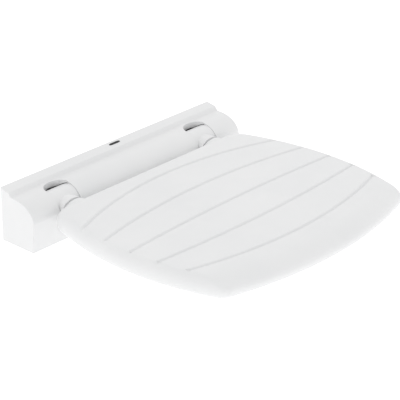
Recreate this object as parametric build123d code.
from build123d import *
import os
from math import cos, radians, sin, sqrt

# Wall-mounted fold-up shower seat.
# X runs along the casing, +Y points into the wall and +Z is up, all in millimetres.
# The origin is the centre of the four wall-fixing holes, on the wall plane.
# "Depth" is the distance from the wall towards the sitter, so Y = -depth.

# ---- Casing on the wall
casing_length = 400
casing_bottom = -38
casing_top = 38
casing_wall = 2.5
step_round = 2.5              # rounding at the top and the foot of the step
ledge_depth = 15.5            # flat ledge along the top, next to the wall
ledge_drop = 3                # how far the ledge slopes down over its depth
step_foot_depth = 19.5        # foot of the step below the ledge
hood_centre = (25, 4)         # centre of the elliptical front, as depth and height
hood_reach = 36.5             # half axis of the ellipse towards the sitter
hood_rise = 25.3              # half axis of the ellipse upwards
hood_fall = 0.3               # how much the casing rises from the hood back to the step
toe_depth = 58                # depth of the casing at its bottom front edge
end_cap_thickness = 3
cap_rim_length = 9
cap_rim_wall = 2
cap_edge_round = 1
fit_gap = 0.2

# ---- Hinge
axis_depth = 38
axis_height = 5
arm_x = 134                   # distance of each arm from the middle
pin_radius = 5
pin_running_gap = 0.05
pin_half_length = 29
pin_head_radius = 8
pin_head_thickness = 2.5
pin_head_round = 0.8
ring_groove_deep = 0.6
ring_groove_half_width = 0.6
ring_offset = 0.7             # from the ear's outer face to the middle of the ring
ring_radius = 8.5
ring_half_width = 0.5
ring_mouth = 2                # half the opening of the spring ring
bush_wall = 2
bush_length = 12
ear_inner = 22.4              # the bracket's ears, measured from the middle of the arm
ear_thickness = 4
ear_radius = 13
washer_radius = 12
washer_thickness = 2.6

# ---- Wall plate and brackets
plate_thickness = 4
plate_half_width = 193
plate_half_height = 33
plate_corner = 6
wall_hole_x = 95
wall_hole_z = 23
wall_hole_radius = 4.25
bracket_thickness = 3
bracket_half_height = 30
bracket_screw_x = 14
bracket_screw_z = 25
bracket_screw_radius = 3
bracket_head_radius = 5
bracket_head_thickness = 3
bracket_head_round = 1.2
hex_socket_radius = 1.5
tab_x = 62
tab_width = 26
tab_reach = 24
tab_thickness = 3
cover_screw_radius = 2
cover_screw_depth = 14
cover_screw_length = 8
cover_head_radius = 3.8
cover_head_thickness = 1.8
cover_socket_radius = 1.2

# ---- Seat
seat_rear = 69
seat_front = 391.5
seat_top_z = 21.8
seat_thickness = 25
side_radius = 381             # plan radius of each bowed side
side_reach = 207              # half of the widest plan width
side_mid = 220                # depth of the widest place
front_radius = 580            # plan radius of the bowed front edge
front_corner_radius = 18
rear_corner_radius = 35
top_roll = 12
bottom_roll = 9
skirt_wall = 11
top_wall = 4.5
groove_pitch = 58.8
first_groove = 102
groove_bow = (35, 21, 7, -9, -27)
groove_inset = 9
groove_width = 3.5
groove_deep = 2.2

# ---- Arms and their covers
hub_radius = 13
hub_half_width = 19.6
bar_half_width = 12
bar_low = 2                   # underside of the arm's bar
bar_high = 12
bar_end = 330
rail_hole_low = 5             # bottom of the holes for the rail screws
bar_round = 2
bar_gap = 0.8                 # clearance of the seat top round the bar
bar_slot_length = 15
heel_half_width = 12
heel_low = -11                # lower end of the heel, which rests on the stop pad's front
heel_high = -3
heel_root_reach = 12          # from the axis back to the heel's root
heel_front = 36
horn_low = 11                 # the horn meets the pad's top when the seat is folded up
horn_high = 20.5
horn_front = 29.5
stop_depth = 24               # front face of the stop pad
stop_high = -7                # top face of the stop pad
stop_low = -16
stop_round = 1.5
drum_radius = 20.5
drum_wall = 2.5
drum_half_width = 19.6
drum_lip_angle = 119          # the drum is open towards the wall between these two angles
drum_rear_angle = 265
drum_clearance = 0.8          # between the drum and the casing's skirt
neck_half_width = 18.5
neck_spring = 8               # height where the neck's arch starts
neck_rise = 12.5
neck_bottom = 0
neck_end = 65.3               # here the neck steps down to a spigot
spigot_half_width = 16.5
spigot_rise = 9.5
spigot_end = 75.4
spigot_wall = 1.8
mouth_gap = 1.2               # clearance of the seat's mouth round the spigot
collar_wall = 2               # wall of the seat's mouth above the spigot
collar_start = 69.8
collar_tail = 4               # how far the collar runs on inside the seat
slot_arch_depth = 35
slot_arch_rise = 13.5
slot_half_width = 19.85
slot_mouth_depth = 50         # where the slot turns down the front of the casing
slot_bottom = -2
skirt_low = 21                # lower edge of the wall that hangs from the slot's arch
skirt_thickness = 1.8

# ---- Seat frame and fasteners
rail_depths = (130, 280)
rail_half_width = 12
rail_half_length = 168
rail_thickness = 2.5
base_recess = 1
base_thickness = 2.5
seat_screw_x = (50, 160)
seat_screw_radius = 2.5
boss_radius = 8
screw_head_radius = 4.8
screw_head_thickness = 2.5
plug_radius = 5.8
plug_thickness = 2
plug_round = 0.6
plug_gap = 0.1
rib_thickness = 2
rib_pitch = 36
rib_gap = 0.5                 # between a rib and the rail below it
ribs_each_side = 4
top_boss_radius = 6
screw_tip_z = 19.3            # end of the seat screws, inside the top
rail_corner = 5
rail_screw_head_radius = 4.5
rail_screw_head_thickness = 1.6

seat_bottom_z = seat_top_z - seat_thickness
ceiling_z = seat_top_z - top_wall
base_low = seat_bottom_z + base_recess
base_high = base_low + base_thickness
sides = {"left": -arm_x, "right": arm_x}
hinge_axis = (axis_depth, axis_height)


# ---- Helpers
def block(x_span, depth_span, z_span):
    """Box between two X values, two depths and two heights."""
    size = (x_span[1] - x_span[0], depth_span[1] - depth_span[0], z_span[1] - z_span[0])
    centre = (sum(x_span) / 2, -sum(depth_span) / 2, sum(z_span) / 2)
    return Pos(*centre) * Box(*size)


def along_x(section, x_low, x_high):
    """Extrude a section drawn as (depth, height) between two X values."""
    start = Plane(origin=(x_high, 0, 0), x_dir=(0, -1, 0), z_dir=(-1, 0, 0))
    return extrude(start * section, amount=x_high - x_low)


def upright(radius, x, depth, z_low, z_high):
    """Vertical cylinder."""
    return Pos(x, -depth, (z_low + z_high) / 2) * Cylinder(radius, z_high - z_low)


def disc_x(radius, x_low, x_high, centre=hinge_axis):
    """Cylinder along X, round the hinge axis unless another centre is given."""
    return along_x(Pos(*centre) * Circle(radius), x_low, x_high)


def rod_y(radius, x, z, depth_low, depth_high):
    """Cylinder along Y."""
    start = Plane(origin=(x, -depth_low, z), x_dir=(1, 0, 0), z_dir=(0, -1, 0))
    return extrude(start * Circle(radius), amount=depth_high - depth_low)


def each(pieces):
    """Several separate solids as one node."""
    return Compound(children=list(pieces))


def save(node, shape):
    export_step(shape, f"parts/{node}.step")


# ---- Casing
def casing_section(inset=0.0, rear=0.0):
    """End profile of the casing: ledge, step and elliptical hood, set in by a wall."""
    hood_x, hood_z = hood_centre
    hood_top = hood_z + hood_rise
    step_foot = hood_top + hood_fall
    step_top = casing_top - ledge_drop
    rear_top = casing_top - inset - ledge_drop * (rear + inset) / ledge_depth
    hood = EllipticalCenterArc((hood_x, hood_z), hood_reach - inset, hood_rise - inset, arc_size=90)
    low = casing_bottom + inset
    outline = [
        hood,
        Line((hood_x, hood_top - inset), (step_foot_depth - inset, step_foot - inset)),
        Line((step_foot_depth - inset, step_foot - inset), (ledge_depth - inset, step_top - inset)),
        Line((ledge_depth - inset, step_top - inset), (rear, rear_top)),
        Line((rear, rear_top), (rear, low)),
        Line((rear, low), (toe_depth - inset, low)),
        Line((toe_depth - inset, low), (hood_x + hood_reach - inset, hood_z)),
    ]
    section = make_face(outline)
    step_span = (ledge_depth - inset - 0.1, step_foot_depth - inset + 0.1)
    corners = section.vertices().filter_by_position(Axis.X, *step_span)
    return fillet(corners, step_round)


def arm_slot(x):
    """The opening that each arm swings through: an arch in plan, carried down the front."""
    run_out = seat_rear
    plan = Pos(x, -slot_arch_depth) * Ellipse(slot_half_width, slot_arch_rise)
    length = run_out - slot_arch_depth
    plan += Pos(x, -slot_arch_depth - length / 2) * Rectangle(2 * slot_half_width, length)
    top = extrude(Plane.XY.offset(axis_height) * plan, amount=casing_top)
    span = (x - slot_half_width, x + slot_half_width)
    return top + block(span, (slot_mouth_depth, run_out), (slot_bottom, axis_height))


def slot_skirt(x):
    """Arched wall that hangs from the rear edge of the slot and hides the inside of the casing."""
    outer = Ellipse(slot_half_width + skirt_thickness, slot_arch_rise + skirt_thickness)
    ring = outer - Ellipse(slot_half_width, slot_arch_rise)
    ring &= Pos(0, slot_half_width) * Rectangle(4 * slot_half_width, 2 * slot_half_width)
    wall = Plane.XY.offset(skirt_low) * Pos(x, -slot_arch_depth) * ring
    hanging = extrude(wall, amount=casing_top) & along_x(casing_section(casing_wall / 2), x - 30, x + 30)
    return hanging - disc_x(drum_radius + drum_clearance, x - 30, x + 30)


def casing_cover():
    half = casing_length / 2 - end_cap_thickness
    shell = along_x(casing_section(), -half, half)
    shell -= along_x(casing_section(casing_wall, rear=-1), -half, half)
    for x in sides.values():
        shell += slot_skirt(x)
        shell -= arm_slot(x)
    for x in (-tab_x, tab_x):
        hole_high = casing_bottom + 2 * casing_wall
        shell -= upright(cover_screw_radius + fit_gap, x, cover_screw_depth, casing_bottom - 1, hole_high)
    return shell


def end_cap(side):
    """Flat end of the casing with a rim that plugs into the cover."""
    outer = casing_length / 2
    inner = outer - end_cap_thickness
    face = along_x(casing_section(), inner, outer)
    edges = face.edges().filter_by_position(Axis.X, outer - 0.01, outer + 0.01)
    face = fillet(edges, cap_edge_round)
    rim_inset = casing_wall + fit_gap
    rim_rear = plate_thickness + 1
    rim_start = inner - cap_rim_length
    rim = along_x(casing_section(rim_inset, rear=rim_rear), rim_start, inner)
    rim -= along_x(casing_section(rim_inset + cap_rim_wall, rear=rim_rear + cap_rim_wall), rim_start, inner)
    cap = face + rim
    return cap if side == "right" else mirror(cap, Plane.YZ)


# ---- Wall plate, brackets and stops
def wall_plate():
    """Steel plate on the wall, with two tabs that the cover screws to."""
    plate = block((-plate_half_width, plate_half_width), (0, plate_thickness),
                  (-plate_half_height, plate_half_height))
    plate = fillet(plate.edges().filter_by(Axis.Y), plate_corner)
    tab_low = casing_bottom + casing_wall + fit_gap
    for x in (-tab_x, tab_x):
        span = (x - tab_width / 2, x + tab_width / 2)
        plate += block(span, (0, tab_reach), (tab_low, tab_low + tab_thickness))
        plate += block(span, (0, plate_thickness), (tab_low, plate_corner - plate_half_height))
        plate -= upright(cover_screw_radius, x, cover_screw_depth, tab_low - 1, tab_low + tab_thickness + 1)
    for x in (-wall_hole_x, wall_hole_x):
        for z in (-wall_hole_z, wall_hole_z):
            plate -= rod_y(wall_hole_radius, x, z, -1, plate_thickness + 1)
    for arm in sides.values():
        for x, z in bracket_screw_places(arm):
            plate -= rod_y(bracket_screw_radius, x, z, -1, plate_thickness + 1)
    return plate


def bracket_screw_places(arm):
    return [(arm + x, z) for x in (-bracket_screw_x, bracket_screw_x)
            for z in (-bracket_screw_z, bracket_screw_z)]


def hinge_bracket(arm):
    """U-shaped bracket: a web on the plate and two ears that carry the pin."""
    front = plate_thickness + bracket_thickness
    outer = ear_inner + ear_thickness
    high = bracket_half_height
    web = block((arm - outer, arm + outer), (plate_thickness, front), (-high, high))
    ear_low = axis_height - ear_radius
    ear_high = axis_height + ear_radius
    ear_root = Polyline((plate_thickness, -high), (front, -high), (axis_depth, ear_low),
                        (axis_depth, ear_high), (front, high), (plate_thickness, high), close=True)
    ear_section = make_face(ear_root) + Pos(*hinge_axis) * Circle(ear_radius)
    bracket = web
    for low in (-outer, ear_inner):
        bracket += along_x(ear_section, arm + low, arm + low + ear_thickness)
    bracket -= disc_x(pin_radius, arm - outer - 1, arm + outer + 1)
    for x, z in bracket_screw_places(arm):
        bracket -= rod_y(bracket_screw_radius, x, z, 0, front + 1)
    return bracket


def bracket_screws():
    """Eight pan-head screws that clamp the brackets to the plate."""
    web_front = plate_thickness + bracket_thickness
    head_front = web_front + bracket_head_thickness
    screws = []
    for arm in sides.values():
        for x, z in bracket_screw_places(arm):
            head = rod_y(bracket_head_radius, x, z, web_front, head_front)
            head = fillet(head.edges().sort_by(Axis.Y)[:1], bracket_head_round)
            head -= rod_y(hex_socket_radius, x, z, head_front - hex_socket_radius, head_front)
            screws.append(head + rod_y(bracket_screw_radius, x, z, 0.5, web_front))
    return each(screws)


def cover_screws():
    """Two screws that hold the casing cover to the plate's tabs from below."""
    low = casing_bottom - cover_head_thickness
    screws = []
    for x in (-tab_x, tab_x):
        head = upright(cover_head_radius, x, cover_screw_depth, low, casing_bottom)
        head = fillet(head.edges().sort_by(Axis.Z)[:1], 1)
        head -= upright(cover_socket_radius, x, cover_screw_depth, low, low + cover_socket_radius)
        tip = casing_bottom + cover_screw_length
        shank = upright(cover_screw_radius, x, cover_screw_depth, casing_bottom, tip)
        screws.append(head + shank)
    return each(screws)


def stop_pad(arm):
    """Rubber block between the ears: its front stops the heel, its top stops the horn."""
    back = plate_thickness + bracket_thickness
    pad = block((arm - heel_half_width, arm + heel_half_width), (back, stop_depth), (stop_low, stop_high))
    return fillet(pad.edges().filter_by(Axis.X), stop_round)


# ---- Hinge
def hinge_pin(arm):
    outward = 1 if arm > 0 else -1
    tip = arm - outward * pin_half_length
    head_start = arm + outward * (ear_inner + ear_thickness)
    head_end = head_start + outward * pin_head_thickness
    shaft = disc_x(pin_radius, min(tip, head_end), max(tip, head_end))
    head = disc_x(pin_head_radius, min(head_start, head_end), max(head_start, head_end))
    head = fillet(head.edges().filter_by(GeomType.CIRCLE), pin_head_round)
    middle = arm - outward * (ear_inner + ear_thickness + ring_offset)
    span = (middle - ring_groove_half_width, middle + ring_groove_half_width)
    groove = disc_x(pin_radius + 1, *span) - disc_x(pin_radius - ring_groove_deep, *span)
    return shaft + head - groove


def retaining_rings():
    """Open spring rings that keep each pin from sliding out."""
    rings = []
    for arm in sides.values():
        outward = 1 if arm > 0 else -1
        middle = arm - outward * (ear_inner + ear_thickness + ring_offset)
        span = (middle - ring_half_width, middle + ring_half_width)
        ring = disc_x(ring_radius, *span) - disc_x(pin_radius - ring_groove_deep, *span)
        ring -= block((middle - 1, middle + 1), (axis_depth - ring_mouth, axis_depth + ring_mouth),
                      (axis_height - ring_radius - 1, axis_height))
        rings.append(ring)
    return each(rings)


def friction_washers():
    """A plastic washer between each ear and the arm's hub."""
    washers = []
    for arm in sides.values():
        for side in (-1, 1):
            middle = arm + side * (ear_inner + hub_half_width) / 2
            span = (middle - washer_thickness / 2, middle + washer_thickness / 2)
            washers.append(disc_x(washer_radius, *span) - disc_x(pin_radius + pin_running_gap, *span))
    return each(washers)


# ---- Arms
def seat_arm(arm):
    """Cast arm: hub on the pin, bar under the seat, heel and horn that meet the stop pad."""
    bore = pin_radius + pin_running_gap + bush_wall
    hub = disc_x(hub_radius, arm - hub_half_width, arm + hub_half_width)
    bar = block((arm - bar_half_width, arm + bar_half_width), (axis_depth, bar_end), (bar_low, bar_high))
    bar = fillet(bar.edges().filter_by(Axis.Y), bar_round)
    width = (arm - heel_half_width, arm + heel_half_width)
    heel_face = stop_depth + fit_gap
    heel = block(width, (heel_face, heel_front), (heel_low, heel_high))
    heel_root = block(width, (axis_depth - heel_root_reach, heel_front), (heel_high - 1, axis_height))
    horn_face = axis_depth - (axis_height - stop_high) + fit_gap
    horn = block(width, (horn_face, horn_front), (horn_low, horn_high))
    casting = hub + bar + heel + heel_root + horn
    casting -= disc_x(bore, arm - hub_half_width - 1, arm + hub_half_width + 1)
    for depth in rail_depths:
        casting -= upright(seat_screw_radius, arm, depth, rail_hole_low, bar_high + 1)
    return casting


def arm_bushes(arm):
    """Two bushes pressed into the hub, running on the pin."""
    bushes = []
    inner = pin_radius + pin_running_gap
    for side in (-1, 1):
        edge = arm + side * hub_half_width
        span = sorted((edge, edge - side * bush_length))
        bushes.append(disc_x(inner + bush_wall, *span) - disc_x(inner, *span))
    return each(bushes)


def neck_section(half_width, rise, bottom):
    """D-shaped section of the neck, as (X offset, height)."""
    arch = Pos(0, neck_spring) * Ellipse(half_width, rise)
    arch -= Pos(0, neck_spring - rise) * Rectangle(2 * half_width, 2 * rise)
    body = Pos(0, (neck_spring + bottom) / 2) * Rectangle(2 * half_width, neck_spring - bottom)
    return arch + body


def neck(arm, half_width, rise, bottom, depth_low, depth_high):
    start = Plane(origin=(arm, -depth_low, 0), x_dir=(1, 0, 0), z_dir=(0, -1, 0))
    return extrude(start * neck_section(half_width, rise, bottom), amount=depth_high - depth_low)


def knuckle_body(arm):
    """Hollow drum round the hub with a D-shaped neck that runs to the seat."""
    inner_half = drum_half_width - 2
    drum = disc_x(drum_radius, arm - drum_half_width, arm + drum_half_width)
    body = drum + neck(arm, neck_half_width, neck_rise, neck_bottom, axis_depth, neck_end)
    body += neck(arm, spigot_half_width, spigot_rise, neck_bottom, axis_depth, spigot_end)
    hollow = disc_x(drum_radius - drum_wall, arm - inner_half, arm + inner_half)
    hollow += neck(arm, spigot_half_width - spigot_wall, spigot_rise - spigot_wall, neck_bottom + spigot_wall,
                   axis_depth, spigot_end + 1)
    hub_hole = disc_x(hub_radius + fit_gap, arm - drum_half_width - 1, arm + drum_half_width + 1)
    far = 3 * drum_radius
    lip = (far * cos(radians(drum_lip_angle)), far * sin(radians(drum_lip_angle)))
    rear = (far * cos(radians(drum_rear_angle)), far * sin(radians(drum_rear_angle)))
    wedge = make_face(Polyline((0, 0), lip, (-far, far), (-far, -far), rear, close=True))
    opening = along_x(Pos(*hinge_axis) * wedge, arm - 30, arm + 30)
    return body - hollow - hub_hole - opening


def knuckle_half(arm, upper):
    """The knuckle is moulded in two halves that meet at the height of the hinge axis."""
    span = (axis_height, 60) if upper else (-60, axis_height)
    return knuckle_body(arm) & block((arm - 40, arm + 40), (-10, 120), span)


# ---- Seat
def side_x(depth):
    """Half of the seat's plan width at a depth."""
    return sqrt(side_radius**2 - (depth - side_mid)**2) - (side_radius - side_reach)


def seat_plan(inset=0.0):
    """Plan of the seat: straight rear, bowed sides and a broad bowed front."""
    side_centre = side_radius - side_reach
    left_side = Pos(side_centre, -side_mid) * Circle(side_radius - inset)
    right_side = Pos(-side_centre, -side_mid) * Circle(side_radius - inset)
    front = Pos(0, front_radius - seat_front) * Circle(front_radius - inset)
    ahead = Pos(0, -seat_rear - inset - side_radius) * Rectangle(4 * side_reach, 2 * side_radius)
    plan = left_side & right_side & front & ahead
    plan = fillet(plan.vertices().sort_by(Axis.Y)[:2], front_corner_radius - inset)
    return fillet(plan.vertices().sort_by(Axis.Y)[-2:], rear_corner_radius - inset)


def slab(inset, z_low, z_high):
    return extrude(Plane.XY.offset(z_low) * seat_plan(inset), amount=z_high - z_low)


def grooves():
    """Five bowed drainage grooves that fan out from the rear edge to the front."""
    cutters = []
    for index, bow in enumerate(groove_bow):
        middle = first_groove + groove_pitch * index
        end = middle + bow
        end_x = side_x(end) - groove_inset
        path = ThreePointArc((-end_x, -end), (0, -middle), (end_x, -end))
        trough = trace(path, groove_width)
        cutters.append(extrude(Plane.XY.offset(seat_top_z - groove_deep) * trough, amount=groove_deep + 1))
    return cutters


def seat_screw_places():
    return [(side * x, depth) for depth in rail_depths for x in seat_screw_x for side in (-1, 1)]


def seat_top():
    """Moulded top with rolled edges, a hollow underside, ribs and screw bosses."""
    body = slab(0, seat_bottom_z, seat_top_z)
    body = fillet(body.edges().group_by(Axis.Z)[-1], top_roll)
    body = fillet(body.edges().group_by(Axis.Z)[0], bottom_roll)
    body -= slab(skirt_wall, seat_bottom_z - 1, ceiling_z)
    rib_low = bar_high + rail_thickness + rib_gap
    ribs = []
    for step in range(-ribs_each_side, ribs_each_side + 1):
        x = step * rib_pitch
        ribs.append(block((x - rib_thickness / 2, x + rib_thickness / 2), (seat_rear + 5, seat_front - 5),
                          (rib_low, ceiling_z)))
    inside = slab(skirt_wall - 1, rib_low, ceiling_z)
    for rib in ribs:
        body += rib & inside
    for x, depth in seat_screw_places():
        body += upright(top_boss_radius, x, depth, bar_high + rail_thickness, ceiling_z)
        body -= upright(seat_screw_radius, x, depth, bar_high, screw_tip_z)
    for arm in sides.values():
        body += collar(arm)
        body -= neck(arm, spigot_half_width + mouth_gap, spigot_rise + mouth_gap, neck_bottom - mouth_gap,
                     seat_rear - 3, spigot_end + mouth_gap)
        across = (arm - bar_half_width - bar_gap, arm + bar_half_width + bar_gap)
        body -= block(across, (seat_rear, seat_rear + bar_slot_length), (bar_low - bar_gap, bar_high + bar_gap))
    for cutter in grooves():
        body -= cutter
    return body


def collar(arm):
    """Arched mouth in the rear edge that takes the neck's spigot."""
    wall = mouth_gap + collar_wall
    return neck(arm, spigot_half_width + wall, spigot_rise + wall, neck_bottom - mouth_gap,
                collar_start, spigot_end + collar_tail)


def seat_base():
    """Panel that closes the underside, with a hollow boss round each screw."""
    panel = slab(skirt_wall + fit_gap, base_low, base_high)
    for x, depth in seat_screw_places():
        panel += upright(boss_radius, x, depth, base_low, bar_high)
        pocket_high = base_low + plug_thickness + screw_head_thickness
        panel -= upright(plug_radius + plug_gap, x, depth, base_low - 1, pocket_high)
        panel -= upright(seat_screw_radius + fit_gap, x, depth, base_low, bar_high + 1)
    return panel


def cross_rail(depth):
    """Flat steel rail across both arms, under the seat top."""
    rail = block((-rail_half_length, rail_half_length), (depth - rail_half_width, depth + rail_half_width),
                 (bar_high, bar_high + rail_thickness))
    rail = fillet(rail.edges().filter_by(Axis.Z), rail_corner)
    for x in [side * x for x in seat_screw_x for side in (-1, 1)]:
        rail -= upright(seat_screw_radius + fit_gap, x, depth, bar_high - 1, bar_high + rail_thickness + 1)
    for x in sides.values():
        rail -= upright(seat_screw_radius, x, depth, bar_high - 1, bar_high + rail_thickness + 1)
    return rail


def rail_screws():
    """Four short screws that fix the rails to the arms."""
    top = bar_high + rail_thickness
    screws = []
    for depth in rail_depths:
        for x in sides.values():
            head = upright(rail_screw_head_radius, x, depth, top, top + rail_screw_head_thickness)
            screws.append(head + upright(seat_screw_radius, x, depth, rail_hole_low, top))
    return each(screws)


def seat_screws():
    """Eight long screws from below, through base and rail into the seat top."""
    head_low = base_low + plug_thickness
    screws = []
    for x, depth in seat_screw_places():
        head = upright(screw_head_radius, x, depth, head_low, head_low + screw_head_thickness)
        shank = upright(seat_screw_radius, x, depth, head_low + screw_head_thickness, screw_tip_z)
        screws.append(head + shank)
    return each(screws)


def screw_plugs():
    """Round plastic plugs that hide the seat screws."""
    plugs = []
    for x, depth in seat_screw_places():
        plug = upright(plug_radius, x, depth, base_low, base_low + plug_thickness)
        plugs.append(fillet(plug.edges().sort_by(Axis.Z)[:1], plug_round))
    return each(plugs)


# ---- Assembly
os.makedirs("parts", exist_ok=True)
save("wall_plate", wall_plate())
save("casing_cover", casing_cover())
save("bracket_screws", bracket_screws())
save("cover_screws", cover_screws())
save("pin_retaining_rings", retaining_rings())
save("hinge_washers", friction_washers())
for side, arm in sides.items():
    save(f"{side}_end_cap", end_cap(side))
    save(f"{side}_hinge_bracket", hinge_bracket(arm))
    save(f"{side}_stop_pad", stop_pad(arm))
    save(f"{side}_hinge_pin", hinge_pin(arm))
    save(f"{side}_arm", seat_arm(arm))
    save(f"{side}_arm_bushes", arm_bushes(arm))
    save(f"{side}_knuckle_cover", knuckle_half(arm, upper=True))
    save(f"{side}_knuckle_undercover", knuckle_half(arm, upper=False))
save("seat_top", seat_top())
save("seat_base", seat_base())
save("rear_rail", cross_rail(rail_depths[0]))
save("front_rail", cross_rail(rail_depths[1]))
save("rail_screws", rail_screws())
save("seat_screws", seat_screws())
save("screw_plugs", screw_plugs())
